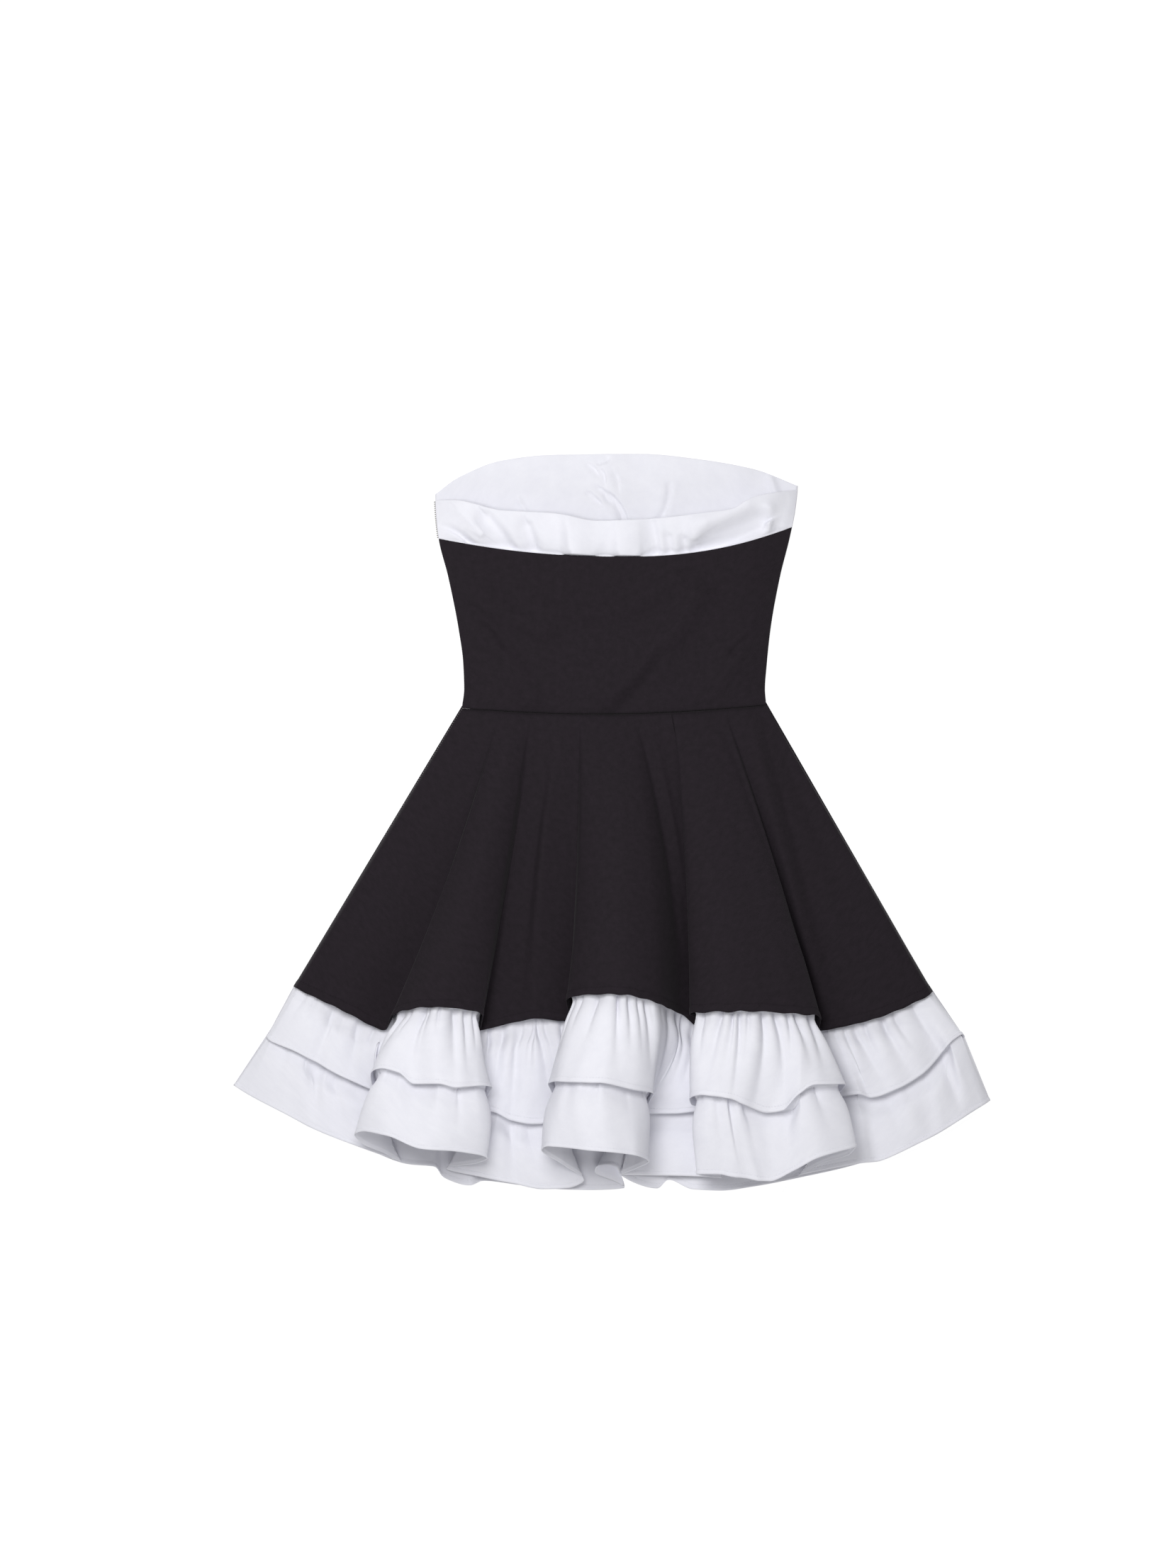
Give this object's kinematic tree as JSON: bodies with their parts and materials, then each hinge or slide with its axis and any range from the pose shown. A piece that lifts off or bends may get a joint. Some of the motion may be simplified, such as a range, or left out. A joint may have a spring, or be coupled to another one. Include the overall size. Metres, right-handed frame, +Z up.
{
  "type": "cocktail dress",
  "caption": "Strapless fitted bodice with a gathered white bust band and a flared black skirt over white ruffles, laid flat on its front.",
  "frame": {"origin": "bottom centre of the bounding box, on the surface that the dress lies on", "axes": "+Z up from the surface through the dress, +Y from the hem to the neckline, +X to the viewer's right with the back of the dress up"},
  "size_m": [0.8, 0.778, 0.098],
  "materials": {
    "black_crepe": "matte woven stretch crepe",
    "white_poplin": "matte plain-woven cotton poplin",
    "zip_tape": "woven tape with fine moulded teeth"
  },
  "bodies": {
    "root": {"bodice_back": "black_crepe", "bodice_front": "black_crepe", "bust_band_back": "white_poplin", "bust_band_front": "white_poplin", "skirt_back": "black_crepe", "skirt_front": "black_crepe", "upper_ruffle_back": "white_poplin", "upper_ruffle_front": "white_poplin", "lower_ruffle_back": "white_poplin", "lower_ruffle_front": "white_poplin", "side_zip": "zip_tape"}
  },
  "joints": []
}
